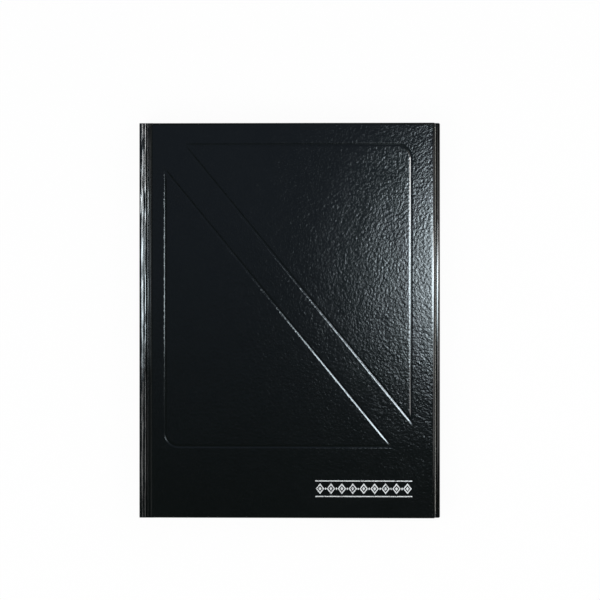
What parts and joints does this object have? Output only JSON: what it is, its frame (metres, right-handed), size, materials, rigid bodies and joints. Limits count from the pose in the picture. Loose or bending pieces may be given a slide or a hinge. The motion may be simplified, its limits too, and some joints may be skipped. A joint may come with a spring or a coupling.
{
  "type": "cash book",
  "caption": "Thick hardbound ledger in black grained leather: square spine with sunk joints, sewn sections, two covers that open flat, and blind-pressed triangles on the front.",
  "frame": {"origin": "centre of the underside: the middle of the book's outline in X and Y, on the flat outer face of the back cover", "axes": "+X from the spine to the fore-edge, +Y to the head of the book, +Z out of the front cover"},
  "size_m": [0.217, 0.286, 0.0255],
  "materials": {
    "black_leather": "satin",
    "grey_board": "matte",
    "ledger_paper": "matte",
    "endpaper": "matte",
    "mull": "matte",
    "kraft_paper": "matte",
    "linen_tape": "matte",
    "headband_cotton": "matte",
    "thread": "matte"
  },
  "bodies": {
    "text_block": {"section_1": "ledger_paper", "section_2": "ledger_paper", "section_3": "ledger_paper", "section_4": "ledger_paper", "section_5": "ledger_paper", "section_6": "ledger_paper", "section_7": "ledger_paper", "section_8": "ledger_paper", "sewing_thread": "thread", "sewing_tape_1": "linen_tape", "sewing_tape_2": "linen_tape", "sewing_tape_3": "linen_tape", "spine_mull": "mull", "spine_lining": "kraft_paper", "headband": "headband_cotton", "tailband": "headband_cotton", "spine_board": "grey_board", "spine_leather": "black_leather", "front_joint_leather": "black_leather", "front_endpaper_joint": "endpaper", "front_joint_mull": "mull", "back_joint_leather": "black_leather", "back_endpaper_joint": "endpaper", "back_joint_mull": "mull"},
    "first_leaves": {"first_leaves": "ledger_paper"},
    "front_cover": {"front_board": "grey_board", "front_cover_leather": "black_leather", "front_pastedown": "endpaper", "front_mull_wing": "mull"},
    "back_cover": {"back_board": "grey_board", "back_cover_leather": "black_leather", "back_pastedown": "endpaper", "back_mull_wing": "mull"},
    "front_flyleaf": {"front_flyleaf": "endpaper"},
    "back_flyleaf": {"back_flyleaf": "endpaper"}
  },
  "joints": [
    {"name": "first_leaves_turn", "type": "hinge", "parent": "text_block", "child": "first_leaves", "pos_m": [-0.10455, 0, 0.02405], "axis": [0, 1, 0], "range_deg": [-180, 0]},
    {"name": "front_cover_hinge", "type": "hinge", "parent": "first_leaves", "child": "front_cover", "pos_m": [-0.10455, 0, 0.02195], "axis": [0, -1, 0], "range_deg": [0, 180], "deforming": ["front_joint_leather", "front_endpaper_joint", "front_joint_mull"]},
    {"name": "back_cover_hinge", "type": "hinge", "parent": "text_block", "child": "back_cover", "pos_m": [-0.10455, 0, 0.0035], "axis": [0, 1, 0], "range_deg": [0, 180], "deforming": ["back_joint_leather", "back_endpaper_joint", "back_joint_mull"]},
    {"name": "front_flyleaf_lift", "type": "hinge", "parent": "first_leaves", "child": "front_flyleaf", "pos_m": [-0.10355, 0, 0.02185], "axis": [0, -1, 0], "range_deg": [0, 4.5]},
    {"name": "back_flyleaf_lift", "type": "hinge", "parent": "text_block", "child": "back_flyleaf", "pos_m": [-0.10355, 0, 0.0036], "axis": [0, 1, 0], "range_deg": [0, 4.5]}
  ],
  "couplings": [
    {"joint": "front_flyleaf_lift", "follows": "front_cover_hinge", "ratio": 0.025},
    {"joint": "back_flyleaf_lift", "follows": "back_cover_hinge", "ratio": 0.025}
  ]
}
